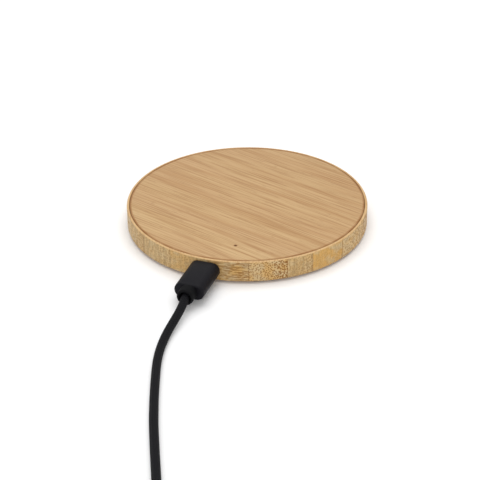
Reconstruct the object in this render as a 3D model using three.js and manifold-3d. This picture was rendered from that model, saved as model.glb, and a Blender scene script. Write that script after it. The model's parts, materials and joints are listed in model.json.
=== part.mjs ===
// A round bamboo wireless charging pad with its detachable USB cable.
// Millimetres, +Z up. The origin is the centre of the pad's underside, on the surface it stands on,
// and the charging socket faces -Y. The cable lies on the same surface, with its spare length coiled.
import * as THREE from "three";
import { mergeVertices } from "three/addons/utils/BufferGeometryUtils.js";
import Module from "manifold-3d";

const wasm = await Module();
wasm.setup();

// ---------------------------------------------------------------- driving dimensions
const PAD = { radius: 45, height: 9, standoff: 0.9, topRound: 0.45, bottomRound: 0.7 };
const LID = { radius: 43.7, thickness: 1.3, bevel: 0.25 };
const SEAT = { radius: 44, depth: 1.4 }; // the recess in the housing that the lid is glued into
const POCKET_RADIUS = 37.5;
const BASE = { radius: 41.9, recessRadius: 42.2, thickness: 1.2, gap: 0.05 };
const FOOT = { radius: 5, circle: 31, recess: 0.3, gap: 0.05, count: 4 };
const CASE_SCREW = { circle: 39.8, shank: 0.75, pilot: 0.85, head: 1.7, length: 5, count: 4 };
const BOARD = { radius: 36.5, thickness: 1, clearance: 0.55, tabHalfWidth: 6, tabReach: 43 };
const STAKE = { circle: 33.6, post: 2.2, pin: 0.9, hole: 1, head: 1.6, headHeight: 0.5 };
const PORT = { height: 5.3, mouth: 44.4, length: 7.6 };
const SOCKET = { width: 8.94, height: 3.26, wall: 0.25 };
const SOCKET_SLOT = { width: 9.6, height: 3.66 };
const TONGUE = { width: 6.69, height: 0.7, length: 4.9, base: 1.1 };
const STATUS_LIGHT = { x: 6.9, y: -32.7, hole: 0.55, pipe: 0.45, flange: 1.2 };
const FERRITE = { radius: 25, thickness: 1 };
const WINDING = { inner: 10.3, outer: 21.8, thickness: 1.8, wire: 0.55 };

const PLUG_C = { width: 11, height: 5.8, front: 45.2, length: 16.8 };
const PLUG_C_SHELL = { width: 8.25, height: 2.4, wall: 0.25, reach: 6.5, rooted: 3 };
const PLUG_C_SLOT = { width: 6.95, height: 0.9 };
const RELIEF_C = { radius: 3.05, length: 4, spigot: 1.8, spigotRadius: 2.3, mouth: 2.1, mouthDepth: 3 };

const CORD_DIAMETER = 3;
const TIE = { width: 4, thickness: 0.6, gap: 0.3, angle: 5 };
const COIL = { x: 19.7, y: -201, turnsWide: 5, middle: 18, layers: 2 };
const RUN_TOUCH = { radius: 24, angle: 25 }; // where the cord from the pad meets its outermost turn
const TAIL_TOUCH = { radius: 22.5, angle: 265 }; // where it leaves the upper layer for the far plug

const PLUG_A = { width: 15.6, height: 7.6, length: 21, corner: 2.4, restHeight: 3.85 };
const PLUG_A_SHELL = { width: 12, height: 4.5, wall: 0.3, reach: 18.7, rooted: 6 };
const RELIEF_A = { length: 9, wide: 2.6, narrow: 1.95, spigot: 2, mouthDepth: 1.2 };

// Derived heights, from the surface the pad stands on upwards.
const BASE_BOTTOM = PAD.standoff;
const BASE_TOP = BASE_BOTTOM + BASE.thickness;
const RECESS_TOP = BASE_TOP + BASE.gap;
const BOARD_BOTTOM = BASE_TOP + BOARD.clearance;
const BOARD_TOP = BOARD_BOTTOM + BOARD.thickness;
const SEAT_FLOOR = PAD.height - SEAT.depth;
const PLUG_C_BACK = PLUG_C.front + PLUG_C.length;
const COIL_FLOOR = TIE.thickness + TIE.gap;
const TAPE_THICKNESS = 0.15;
const FERRITE_BOTTOM = BOARD_TOP + TAPE_THICKNESS + 0.05;
const WINDING_BOTTOM = FERRITE_BOTTOM + FERRITE.thickness + 0.1;

const ROUND = 96; // segments round the pad's own circles
const SMALL_ROUND = 32; // round screws, feet and posts
const CORD_SIDES = 8;

// ---------------------------------------------------------------- materials
const finish = (color, roughness, metalness = 0) =>
  new THREE.MeshStandardMaterial({ color, roughness, metalness });

const MATERIAL = {
  bambooSide: finish(0xc9a46c, 0.6),
  bambooTop: finish(0xdcb885, 0.5),
  blackPlastic: finish(0x1b1b1d, 0.55),
  rubber: finish(0x161616, 0.85),
  cord: finish(0x191919, 0.6),
  strap: finish(0x141414, 0.9),
  steel: finish(0xb9bcc0, 0.28, 1),
  darkSteel: finish(0x3c3d40, 0.35, 1),
  board: finish(0x14523a, 0.45),
  ferrite: finish(0x35363a, 0.7),
  copper: finish(0xb46a3c, 0.35, 1),
  tape: finish(0xe8e6dc, 0.6),
  chip: finish(0x141517, 0.5),
  ceramic: finish(0xa98a62, 0.6),
  whitePlastic: finish(0xe9e8e2, 0.45),
  clearPlastic: finish(0xeef2f4, 0.1),
  gold: finish(0xd9b25a, 0.25, 1),
};

// ---------------------------------------------------------------- solids
// A closed three.js geometry as a manifold solid, placed by its own vertices.
function solid(geometry) {
  const bare = geometry.index ? geometry.toNonIndexed() : geometry.clone();
  bare.deleteAttribute("normal");
  bare.deleteAttribute("uv");
  const merged = mergeVertices(bare, 1e-4);
  return new wasm.Manifold(
    new wasm.Mesh({
      numProp: 3,
      vertProperties: merged.attributes.position.array,
      triVerts: new Uint32Array(merged.index.array),
    }),
  );
}

function geometryOf(shape) {
  const { vertProperties, triVerts } = shape.getMesh();
  const geometry = new THREE.BufferGeometry();
  geometry.setAttribute("position", new THREE.BufferAttribute(vertProperties, 3));
  geometry.setIndex(new THREE.BufferAttribute(triVerts, 1));
  geometry.computeVertexNormals();
  return geometry;
}

const onCircle = (radius, degrees) => {
  const angle = THREE.MathUtils.degToRad(degrees);
  return [radius * Math.cos(angle), radius * Math.sin(angle)];
};

// A profile of [radius, height] pairs turned about Z; it runs anticlockwise, outside first.
function turned(profile, segments = ROUND) {
  const points = profile.map(([r, z]) => new THREE.Vector2(r, z));
  return solid(new THREE.LatheGeometry(points, segments).rotateX(Math.PI / 2));
}

function disc(radius, bottom, top, segments = ROUND) {
  return turned([[0, bottom], [radius, bottom], [radius, top], [0, top]], segments);
}

function ring(inner, outer, bottom, top, segments = ROUND) {
  const profile = [[inner, bottom], [outer, bottom], [outer, top], [inner, top], [inner, bottom]];
  return turned(profile, segments);
}

function block(width, depth, height) {
  return solid(new THREE.BoxGeometry(width, depth, height).translate(0, 0, height / 2));
}

function roundedRectangle(width, height, radius) {
  const steps = 8;
  const corners = [[1, 1, 0], [-1, 1, 90], [-1, -1, 180], [1, -1, 270]];
  const points = corners.flatMap(([sideX, sideY, from]) =>
    Array.from({ length: steps + 1 }, (_, i) => {
      const [dx, dy] = onCircle(radius, from + (90 * i) / steps);
      return new THREE.Vector2(sideX * (width / 2 - radius) + dx, sideY * (height / 2 - radius) + dy);
    }),
  );
  return new THREE.Shape(points);
}

// A rounded rectangle seen from the front, run from near to far along -Y with softened ends.
function barAlongPort({ width, height, corner = 0.48 * height, near, far, soften = 0 }) {
  const geometry = new THREE.ExtrudeGeometry(roundedRectangle(width, height, corner), {
    depth: far - near - 2 * soften,
    bevelEnabled: soften > 0,
    bevelThickness: soften,
    bevelSize: soften,
    bevelOffset: -soften,
    bevelSegments: 3,
  });
  return solid(geometry.translate(0, 0, soften).rotateX(Math.PI / 2).translate(0, -near, 0));
}

function rodAlongPort(radius, near, far, segments = SMALL_ROUND) {
  return disc(radius, near, far, segments).rotate([90, 0, 0]);
}

function tubeAlong(curve, radius, steps, sides = CORD_SIDES) {
  const section = new THREE.Shape();
  section.absarc(0, 0, radius, 0, 2 * Math.PI);
  const options = { steps, extrudePath: curve, curveSegments: sides, bevelEnabled: false };
  return solid(new THREE.ExtrudeGeometry(section, options));
}

// ---------------------------------------------------------------- scene graph helpers
const pad = new THREE.Group();
const cable = new THREE.Group();
const farPlug = new THREE.Group(); // the USB-A plug, modelled along -Y from its cord end

function add(group, name, shape, material) {
  const mesh = new THREE.Mesh(geometryOf(shape), material);
  mesh.name = name;
  group.add(mesh);
  return mesh;
}

// ---------------------------------------------------------------- the case
const caseScrewAngles = Array.from({ length: CASE_SCREW.count }, (_, i) => 45 + (i * 360) / CASE_SCREW.count);
const footAngles = Array.from({ length: FOOT.count }, (_, i) => (i * 360) / FOOT.count + 22.5);
const stakeAngles = [60, 180, 300];

// Points of a quarter round from one direction to the next, for a turned profile.
function quarterRound(radius, height, round, fromDegrees) {
  const steps = 4;
  return Array.from({ length: steps + 1 }, (_, i) => {
    const [dr, dz] = onCircle(round, fromDegrees + (90 * i) / steps);
    return [radius + dr, height + dz];
  });
}

function housing() {
  const outer = PAD.radius;
  const profile = [
    [BASE.recessRadius, BASE_BOTTOM],
    ...quarterRound(outer - PAD.bottomRound, BASE_BOTTOM + PAD.bottomRound, PAD.bottomRound, 270),
    ...quarterRound(outer - PAD.topRound, PAD.height - PAD.topRound, PAD.topRound, 0),
    [SEAT.radius + LID.bevel, PAD.height],
    [SEAT.radius, PAD.height - LID.bevel],
    [SEAT.radius, SEAT_FLOOR],
    [POCKET_RADIUS, SEAT_FLOOR],
    [POCKET_RADIUS, RECESS_TOP],
    [BASE.recessRadius, RECESS_TOP],
    [BASE.recessRadius, BASE_BOTTOM],
  ];
  const slot = barAlongPort({ ...SOCKET_SLOT, near: POCKET_RADIUS - 2, far: outer + 1 });
  const tabDepth = BOARD.tabReach + 0.4 - (POCKET_RADIUS - 2);
  const tabPocket = block(2 * BOARD.tabHalfWidth + 0.8, tabDepth, BOARD_TOP + 0.3 - BASE_TOP);
  let shape = turned(profile)
    .subtract(slot.translate([0, 0, PORT.height]))
    .subtract(tabPocket.translate([0, -(POCKET_RADIUS - 2) - tabDepth / 2, BASE_TOP]));
  for (const angle of caseScrewAngles) {
    const pilot = disc(CASE_SCREW.pilot, BASE_TOP - 1, BASE_BOTTOM + CASE_SCREW.length + 0.2, 16);
    shape = shape.subtract(pilot.translate([...onCircle(CASE_SCREW.circle, angle), 0]));
  }
  return shape;
}

function lid() {
  const bottom = PAD.height - LID.thickness;
  const shape = turned([
    [0, bottom],
    [LID.radius, bottom],
    [LID.radius, PAD.height - LID.bevel],
    [LID.radius - LID.bevel, PAD.height],
    [0, PAD.height],
  ]);
  const hole = disc(STATUS_LIGHT.hole, bottom - 1, PAD.height + 1, 20);
  return shape.subtract(hole.translate([STATUS_LIGHT.x, STATUS_LIGHT.y, 0]));
}

function baseCover() {
  let shape = disc(BASE.radius, BASE_BOTTOM, BASE_TOP);
  for (const angle of footAngles) {
    const recess = disc(FOOT.radius + 0.1, BASE_BOTTOM - 1, BASE_BOTTOM + FOOT.recess, SMALL_ROUND);
    shape = shape.subtract(recess.translate([...onCircle(FOOT.circle, angle), 0]));
  }
  for (const angle of caseScrewAngles) {
    shape = shape.subtract(countersink().translate([...onCircle(CASE_SCREW.circle, angle), 0]));
  }
  for (const angle of stakeAngles) {
    const [x, y] = onCircle(STAKE.circle, angle);
    shape = shape.add(heatStake().translate([x, y, 0]));
  }
  return shape;
}

// The hole a case screw's countersunk head and shank pass through.
function countersink() {
  const gap = 0.1;
  const head = CASE_SCREW.head + gap;
  const shank = CASE_SCREW.shank + gap;
  const below = BASE_BOTTOM - 1;
  return turned(
    [
      [0, below],
      [head, below],
      [head, BASE_BOTTOM + gap],
      [shank, BASE_BOTTOM + gap + head - shank],
      [shank, BASE_TOP + 1],
      [0, BASE_TOP + 1],
    ],
    SMALL_ROUND,
  );
}

// A moulded post that carries the board, with a pin through it melted over into a head.
function heatStake() {
  const headBottom = BOARD_TOP + 0.05;
  return turned(
    [
      [0, BASE_TOP - 0.5],
      [STAKE.post, BASE_TOP - 0.5],
      [STAKE.post, BOARD_BOTTOM - 0.05],
      [STAKE.pin, BOARD_BOTTOM - 0.05],
      [STAKE.pin, headBottom],
      [STAKE.head, headBottom],
      [STAKE.head * 0.7, headBottom + STAKE.headHeight],
      [0, headBottom + STAKE.headHeight],
    ],
    20,
  );
}

function caseScrew() {
  const top = BASE_BOTTOM + CASE_SCREW.length;
  const screw = turned(
    [
      [0, BASE_BOTTOM + 0.05],
      [CASE_SCREW.head, BASE_BOTTOM + 0.05],
      [CASE_SCREW.shank, BASE_BOTTOM + 0.05 + CASE_SCREW.head - CASE_SCREW.shank],
      [CASE_SCREW.shank, top - 0.8],
      [0, top],
    ],
    16,
  );
  const driveDepth = 0.6;
  const bar = block(2.1, 0.45, driveDepth).translate([0, 0, BASE_BOTTOM + 0.05]);
  return screw.subtract(bar).subtract(bar.rotate([0, 0, 90]));
}

function foot() {
  const top = BASE_BOTTOM + FOOT.recess - FOOT.gap;
  const soft = 0.25;
  return turned(
    [[0, 0], [FOOT.radius - soft, 0], [FOOT.radius, soft], [FOOT.radius, top], [0, top]],
    SMALL_ROUND,
  );
}

function buildCase() {
  add(pad, "bamboo_housing", housing(), MATERIAL.bambooSide);
  add(pad, "bamboo_lid", lid(), MATERIAL.bambooTop);
  add(pad, "base_cover", baseCover(), MATERIAL.blackPlastic);
  footAngles.forEach((angle, i) => {
    const mesh = add(pad, `rubber_foot_${i + 1}`, foot(), MATERIAL.rubber);
    mesh.position.set(...onCircle(FOOT.circle, angle), 0);
  });
  caseScrewAngles.forEach((angle, i) => {
    const mesh = add(pad, `case_screw_${i + 1}`, caseScrew(), MATERIAL.darkSteel);
    mesh.position.set(...onCircle(CASE_SCREW.circle, angle), 0);
  });
}

// ---------------------------------------------------------------- the electronics
function circuitBoard() {
  const tabLength = BOARD.tabReach - BOARD.radius + 6;
  const tab = block(2 * BOARD.tabHalfWidth, tabLength, BOARD.thickness);
  let shape = disc(BOARD.radius, BOARD_BOTTOM, BOARD_TOP, 72).add(
    tab.translate([0, -BOARD.tabReach + tabLength / 2, BOARD_BOTTOM]),
  );
  for (const angle of stakeAngles) {
    const hole = disc(STAKE.hole, BOARD_BOTTOM - 1, BOARD_TOP + 1, 20);
    shape = shape.subtract(hole.translate([...onCircle(STAKE.circle, angle), 0]));
  }
  return shape;
}

function socketShell() {
  const back = PORT.mouth - PORT.length;
  const { width, height, wall } = SOCKET;
  const outside = barAlongPort({ width, height, near: back, far: PORT.mouth });
  const inside = barAlongPort({
    width: width - 2 * wall,
    height: height - 2 * wall,
    near: back + wall,
    far: PORT.mouth + 1,
  });
  return outside.subtract(inside).translate([0, 0, PORT.height]);
}

function socketTongue() {
  const back = PORT.mouth - PORT.length + SOCKET.wall + 0.02;
  const inset = 2 * SOCKET.wall + 0.04;
  const root = barAlongPort({
    width: SOCKET.width - inset,
    height: SOCKET.height - inset,
    near: back,
    far: back + TONGUE.base,
  });
  const tongue = barAlongPort({
    width: TONGUE.width,
    height: TONGUE.height,
    corner: 0.15,
    near: back + 0.2,
    far: back + TONGUE.base + TONGUE.length,
  });
  return root.add(tongue).translate([0, 0, PORT.height]);
}

function lightPipe() {
  const bottom = BOARD_TOP + 0.75;
  const top = PAD.height - 0.3;
  return turned(
    [
      [0, bottom],
      [STATUS_LIGHT.flange, bottom],
      [STATUS_LIGHT.flange, bottom + 0.8],
      [STATUS_LIGHT.pipe, bottom + 0.8],
      [STATUS_LIGHT.pipe, top],
      [0, top],
    ],
    20,
  );
}

// The flat spiral of litz wire, as its outer shape, with its two ends led down to the board.
function chargingCoil() {
  const bottom = WINDING_BOTTOM;
  let shape = ring(WINDING.inner, WINDING.outer, bottom, bottom + WINDING.thickness);
  for (const degrees of [64, 76]) {
    const at = (radius, z) => new THREE.Vector3(...onCircle(radius, degrees), z);
    const lead = new THREE.CatmullRomCurve3([
      at(WINDING.outer - 1, bottom + WINDING.thickness / 2),
      at(WINDING.outer + 2, bottom + WINDING.thickness / 2),
      at(FERRITE.radius + 2.5, bottom + 0.4),
      at(FERRITE.radius + 4.5, BOARD_TOP + WINDING.wire + 0.1),
      at(FERRITE.radius + 6.5, BOARD_TOP + WINDING.wire + 0.1),
    ]);
    shape = shape.add(tubeAlong(lead, WINDING.wire, 8, 6));
  }
  return shape;
}

// A bead in the middle of the coil that senses its heat, on a lead across the winding.
function thermistor() {
  const bead = solid(new THREE.SphereGeometry(1.1, 16, 10).translate(0, 0, WINDING_BOTTOM + 1.3));
  const over = WINDING_BOTTOM + WINDING.thickness + 0.4;
  const points = [
    [0.5, 0.3, WINDING_BOTTOM + 1.4],
    [-6, 2.4, WINDING_BOTTOM + 1.6],
    [-10, 3.6, over],
    [-22, 7.4, over],
    [-26.5, 9, over - 1.4],
    [-29.5, 10, BOARD_TOP + 0.4],
    [-31.5, 10.7, BOARD_TOP + 0.4],
  ];
  const route = new THREE.CatmullRomCurve3(points.map((p) => new THREE.Vector3(...p)));
  return bead.add(tubeAlong(route, 0.3, 18, 6));
}

// [name, material, width, depth, height, circle, degrees]: what is soldered to the board round the coil.
const BOARD_PARTS = [
  ["controller_chip", "chip", 5, 5, 0.9, 30.6, 0],
  ["bridge_chip_1", "chip", 5, 6, 1, 31, 24],
  ["bridge_chip_2", "chip", 5, 6, 1, 31, 336],
  ["resonant_capacitor_1", "ceramic", 3.2, 2.5, 2.4, 30, 92],
  ["resonant_capacitor_2", "ceramic", 3.2, 2.5, 2.4, 30, 100],
  ["resonant_capacitor_3", "ceramic", 3.2, 2.5, 2.4, 30, 108],
  ["input_capacitor", "chip", 4.3, 7.3, 2.8, 30.5, 240],
  ["input_inductor", "ferrite", 5, 5, 2, 31, 218],
  ["clock_crystal", "steel", 2.5, 3.2, 0.8, 30.6, 348],
  ["sense_resistor", "chip", 3.2, 6.4, 0.6, 31, 130],
];

function buildElectronics() {
  add(pad, "circuit_board", circuitBoard(), MATERIAL.board);
  add(pad, "usb_socket_shell", socketShell(), MATERIAL.steel);
  add(pad, "usb_socket_tongue", socketTongue(), MATERIAL.chip);
  const tapeBottom = BOARD_TOP + 0.02;
  const tape = disc(FERRITE.radius - 1, tapeBottom, tapeBottom + TAPE_THICKNESS, 64);
  add(pad, "ferrite_tape", tape, MATERIAL.tape);
  const ferrite = disc(FERRITE.radius, FERRITE_BOTTOM, FERRITE_BOTTOM + FERRITE.thickness, 64);
  add(pad, "ferrite_shield", ferrite, MATERIAL.ferrite);
  add(pad, "charging_coil", chargingCoil(), MATERIAL.copper);
  add(pad, "coil_thermistor", thermistor(), MATERIAL.whitePlastic);
  for (const [name, material, width, depth, height, circle, degrees] of BOARD_PARTS) {
    const mesh = add(pad, name, block(width, depth, height), MATERIAL[material]);
    mesh.position.set(...onCircle(circle, degrees), BOARD_TOP + 0.02);
    mesh.rotation.z = THREE.MathUtils.degToRad(degrees);
  }
  const { x, y } = STATUS_LIGHT;
  add(pad, "status_light", block(1.6, 0.8, 0.6), MATERIAL.whitePlastic).position.set(x, y, BOARD_TOP + 0.02);
  add(pad, "light_pipe", lightPipe(), MATERIAL.clearPlastic).position.set(x, y, 0);
}

// ---------------------------------------------------------------- the cable's USB-C plug
function plugCShell() {
  const { width, height, wall, reach, rooted } = PLUG_C_SHELL;
  const far = PLUG_C.front + rooted;
  const near = PLUG_C.front - reach;
  const inside = barAlongPort({
    width: width - 2 * wall,
    height: height - 2 * wall,
    near: near - 1,
    far: far + 1,
  });
  return barAlongPort({ width, height, near, far }).subtract(inside);
}

function plugCInsert() {
  const { width, height, wall, reach, rooted } = PLUG_C_SHELL;
  const inset = 2 * wall + 0.1;
  const near = PLUG_C.front - reach + 0.1;
  const body = barAlongPort({
    width: width - inset,
    height: height - inset,
    near,
    far: PLUG_C.front + rooted,
  });
  const slot = barAlongPort({ ...PLUG_C_SLOT, corner: 0.2, near: near - 1, far: PLUG_C.front - 0.3 });
  return body.subtract(slot);
}

function plugCBody() {
  const { width, height, front } = PLUG_C;
  const body = barAlongPort({ width, height, near: front, far: PLUG_C_BACK, soften: 0.5 });
  const shellHole = barAlongPort({
    width: PLUG_C_SHELL.width + 0.1,
    height: PLUG_C_SHELL.height + 0.1,
    near: front - 1,
    far: front + PLUG_C_SHELL.rooted + 0.1,
  });
  const reliefHole = rodAlongPort(
    RELIEF_C.spigotRadius + 0.1,
    PLUG_C_BACK - RELIEF_C.spigot - 0.1,
    PLUG_C_BACK + 1,
  );
  return body.subtract(shellHole).subtract(reliefHole);
}

// A short sleeve behind the plug; the cord comes out of its hollow end.
function plugCRelief() {
  const { radius, length, spigot, spigotRadius, mouth, mouthDepth } = RELIEF_C;
  const face = PLUG_C_BACK + 0.05;
  const end = face + length;
  const soft = 0.5;
  const sleeve = turned(
    [
      [0, face - spigot],
      [spigotRadius, face - spigot],
      [spigotRadius, face],
      [radius, face],
      [radius, end - soft],
      [radius - soft, end],
      [mouth, end],
      [mouth - 0.3, end - mouthDepth],
      [0, end - mouthDepth],
    ],
    28,
  );
  return sleeve.rotate([90, 0, 0]);
}

// ---------------------------------------------------------------- the cord
const COIL_OUTER = COIL.middle + (COIL.turnsWide * CORD_DIAMETER) / 2;
const COIL_INNER = COIL.middle - (COIL.turnsWide * CORD_DIAMETER) / 2;
const LAYER_RISE = (CORD_DIAMETER * Math.sqrt(3)) / 2; // a turn lying in the groove of the two below
const COIL_TOP = COIL_FLOOR + CORD_DIAMETER + (COIL.layers - 1) * LAYER_RISE;

// A point on the straight cord that touches the coil, so far clockwise of where it touches.
function tangentPoint({ radius, angle }, distance, z) {
  const [x, y] = onCircle(radius, angle);
  const [alongX, alongY] = onCircle(distance, angle - 90);
  return new THREE.Vector3(COIL.x + x + alongX, COIL.y + y + alongY, z);
}

// From the plug down onto the surface, then in a long easy bend to the side of the coil.
const RUN_ROUTE = [
  [0, -63.4, 5.2],
  [0.1, -65.6, 5],
  [0.4, -68.6, 4.45],
  [0.5, -72, 3.75],
  [0.4, -76, 3],
  [0.3, -80.5, 2.3],
  [0.4, -84.5, 1.85],
  [0.8, -88.5, 1.6],
  [1.4, -92.2, 1.55],
  [2.4, -96.8, 1.55],
  [4, -102.3, 1.55],
  [6, -108.2, 1.55],
  [8.4, -115, 1.55],
  [11.3, -122.8, 1.55],
  [14.5, -131, 1.55],
  [18.1, -139.5, 1.55],
  [22, -148.5, 1.55],
];

function runCurve() {
  return new THREE.CatmullRomCurve3([
    ...RUN_ROUTE.map((p) => new THREE.Vector3(...p)),
    tangentPoint(RUN_TOUCH, -33, 1.7),
    tangentPoint(RUN_TOUCH, -23, 2.1),
    tangentPoint(RUN_TOUCH, -13, 2.35),
  ]);
}

// Off the upper layer of the coil and level into the far plug.
const TAIL = { start: 15, step: 6, heights: [5, 4.75, 4.4, 4.1, 3.9, 3.85, 3.85] };

function tailCurve() {
  return new THREE.CatmullRomCurve3(
    TAIL.heights.map((z, i) => tangentPoint(TAIL_TOUCH, TAIL.start + i * TAIL.step, z)),
  );
}

function coilTie() {
  const middle = COIL.middle;
  const inside = roundedRectangle(
    COIL_OUTER - COIL_INNER + 2 * TIE.gap,
    COIL_TOP - COIL_FLOOR + 2 * TIE.gap,
    0.6,
  );
  const outside = roundedRectangle(
    COIL_OUTER - COIL_INNER + 2 * (TIE.gap + TIE.thickness),
    COIL_TOP - COIL_FLOOR + 2 * (TIE.gap + TIE.thickness),
    1.2,
  );
  outside.holes.push(inside);
  const band = new THREE.ExtrudeGeometry(outside, { depth: TIE.width, bevelEnabled: false });
  band.translate(0, 0, -TIE.width / 2).rotateX(Math.PI / 2);
  return solid(band).translate([middle, 0, (COIL_TOP + COIL_FLOOR) / 2]);
}

function buildCable() {
  const plug = new THREE.Group();
  plug.position.z = PORT.height;
  cable.add(plug);
  add(plug, "usb_c_plug_shell", plugCShell(), MATERIAL.steel);
  add(plug, "usb_c_plug_insert", plugCInsert(), MATERIAL.chip);
  add(plug, "usb_c_plug_body", plugCBody(), MATERIAL.blackPlastic);
  add(plug, "usb_c_strain_relief", plugCRelief(), MATERIAL.rubber);

  add(cable, "cord_run", tubeAlong(runCurve(), CORD_DIAMETER / 2, 24), MATERIAL.cord);
  const wound = ring(COIL_INNER, COIL_OUTER, COIL_FLOOR, COIL_TOP, 64);
  add(cable, "cord_coil", wound, MATERIAL.cord).position.set(COIL.x, COIL.y, 0);
  add(cable, "cord_tail", tubeAlong(tailCurve(), CORD_DIAMETER / 2, 8), MATERIAL.cord);

  const tie = add(cable, "coil_tie", coilTie(), MATERIAL.strap);
  tie.position.set(COIL.x, COIL.y, 0);
  tie.rotation.z = THREE.MathUtils.degToRad(TIE.angle);
}

// ---------------------------------------------------------------- the cable's USB-A plug
function plugABody() {
  const near = RELIEF_A.length;
  const far = near + PLUG_A.length;
  const { width, height, corner } = PLUG_A;
  const body = barAlongPort({ width, height, corner, near, far, soften: 0.6 });
  const shellHole = barAlongPort({
    width: PLUG_A_SHELL.width + 0.2,
    height: PLUG_A_SHELL.height + 0.2,
    corner: 0.6,
    near: far - PLUG_A_SHELL.rooted - 0.1,
    far: far + 1,
  });
  const reliefHole = rodAlongPort(RELIEF_A.wide + 0.1, near - 1, near + RELIEF_A.spigot + 0.1);
  return body.subtract(shellHole).subtract(reliefHole);
}

function plugAShell() {
  const { width, height, wall, reach, rooted } = PLUG_A_SHELL;
  const face = RELIEF_A.length + PLUG_A.length;
  const near = face - rooted;
  const far = face + reach;
  const inside = barAlongPort({
    width: width - 2 * wall,
    height: height - 2 * wall,
    corner: 0.3,
    near: near - 1,
    far: far + 1,
  });
  let shell = barAlongPort({ width, height, corner: 0.5, near, far }).subtract(inside);
  const latchHole = block(2.4, 2.4, 2 * height).translate([0, -(far - 6.4), -height]);
  for (const x of [-2.6, 2.6]) shell = shell.subtract(latchHole.translate([x, 0, 0]));
  return shell;
}

const INSULATOR = { width: 11.2, height: 1.84, inset: 0.6 };

function plugAInsulator() {
  const { width, height, inset } = INSULATOR;
  const face = RELIEF_A.length + PLUG_A.length;
  const bar = barAlongPort({
    width,
    height,
    corner: 0.2,
    near: face - PLUG_A_SHELL.rooted,
    far: face + PLUG_A_SHELL.reach - inset,
  });
  const top = PLUG_A_SHELL.height / 2 - PLUG_A_SHELL.wall - 0.08;
  return bar.translate([0, 0, top - height / 2]);
}

function plugARelief() {
  const { length, wide, narrow, spigot, mouthDepth } = RELIEF_A;
  const bore = CORD_DIAMETER / 2 + 0.3;
  const sleeve = turned(
    [
      [bore, 0],
      [narrow, 0],
      [narrow + 0.1, 0.4],
      [wide - 0.2, length - 0.6],
      [wide, length + spigot],
      [0, length + spigot],
      [0, mouthDepth],
      [bore, mouthDepth],
      [bore, 0],
    ],
    24,
  );
  return sleeve.rotate([90, 0, 0]);
}

function buildFarPlug() {
  const end = tailCurve().getPoint(1);
  farPlug.position.set(end.x, end.y, PLUG_A.restHeight);
  farPlug.rotation.z = THREE.MathUtils.degToRad(TAIL_TOUCH.angle);
  cable.add(farPlug);
  // The group's -Y is the way the cord was heading; it starts a little short of the cord's end.
  const shift = new THREE.Group();
  shift.position.y = RELIEF_A.mouthDepth - 0.3;
  farPlug.add(shift);
  add(shift, "usb_a_strain_relief", plugARelief(), MATERIAL.rubber);
  add(shift, "usb_a_plug_body", plugABody(), MATERIAL.blackPlastic);
  add(shift, "usb_a_plug_shell", plugAShell(), MATERIAL.steel);
  add(shift, "usb_a_insulator", plugAInsulator(), MATERIAL.whitePlastic);

  const contact = { width: 1, thickness: 0.12, length: 7.5, gap: 0.06 };
  const tip = RELIEF_A.length + PLUG_A.length + PLUG_A_SHELL.reach - INSULATOR.inset - 1.2;
  const under = PLUG_A_SHELL.height / 2 - PLUG_A_SHELL.wall - 0.08 - INSULATOR.height;
  [-3.5, -1, 1, 3.5].forEach((x, i) => {
    const strip = block(contact.width, contact.length, contact.thickness).translate([
      x,
      -(tip - contact.length / 2),
      under - contact.gap - contact.thickness,
    ]);
    add(shift, `usb_a_contact_${i + 1}`, strip, MATERIAL.gold);
  });
}

// ---------------------------------------------------------------- the whole object
buildCase();
buildElectronics();
buildCable();
buildFarPlug();

const chargingPad = new THREE.Group();
chargingPad.name = "wireless_charging_pad";
chargingPad.add(pad, cable);

export default chargingPad;
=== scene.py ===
"""A round bamboo wireless charging pad with its USB cable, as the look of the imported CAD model."""

import json
import math

import bmesh
import bpy
from mathutils import Matrix, Vector


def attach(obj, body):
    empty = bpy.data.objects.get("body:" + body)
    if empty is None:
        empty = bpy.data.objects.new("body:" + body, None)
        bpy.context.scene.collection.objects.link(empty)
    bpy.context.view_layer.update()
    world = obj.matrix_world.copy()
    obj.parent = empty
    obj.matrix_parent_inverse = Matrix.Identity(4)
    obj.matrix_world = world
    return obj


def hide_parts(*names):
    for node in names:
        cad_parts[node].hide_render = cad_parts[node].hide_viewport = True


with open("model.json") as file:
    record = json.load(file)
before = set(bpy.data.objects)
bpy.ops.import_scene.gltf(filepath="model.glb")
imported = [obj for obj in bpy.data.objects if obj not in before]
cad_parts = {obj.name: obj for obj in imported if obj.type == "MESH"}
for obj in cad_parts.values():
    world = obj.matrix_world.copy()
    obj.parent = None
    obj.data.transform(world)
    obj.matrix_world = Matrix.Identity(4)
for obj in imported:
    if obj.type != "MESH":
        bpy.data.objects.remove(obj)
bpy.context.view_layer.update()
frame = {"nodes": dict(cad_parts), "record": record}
MM = 0.001

# Sizes of the CAD model, in millimetres like every length below that names no other unit. LID_RADIUS
# is 0.2 more than there, for a finer seam, and LIGHT_HOLE is 0.05 less.
PAD_RADIUS = 45.0
PAD_TOP = 9.0
BASE_BOTTOM = 0.9
BASE_TOP = 2.1
BASE_RADIUS = 41.9
LID_RADIUS = 43.9
LID_THICKNESS = 1.3
SEAM_RADIUS = 43.75
SEAT_RADIUS = 44.0
SEAT_FLOOR = 7.6
POCKET_RADIUS = 37.5
RECESS_RADIUS = 42.2
TOP_ROUND, BOTTOM_ROUND, LID_ROUND = 0.45, 0.7, 0.25
PORT_HEIGHT = 5.3
SLOT_WIDTH, SLOT_HEIGHT, SLOT_CORNER = 9.6, 3.66, 1.75
LIGHT_X, LIGHT_Y, LIGHT_HOLE = 6.9, -32.7, 0.5
FOOT_CIRCLE, FOOT_RADIUS = 31.0, 5.0
SCREW_CIRCLE, SCREW_HOLE = 39.8, 0.85
STAKE_CIRCLE = 33.6
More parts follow.
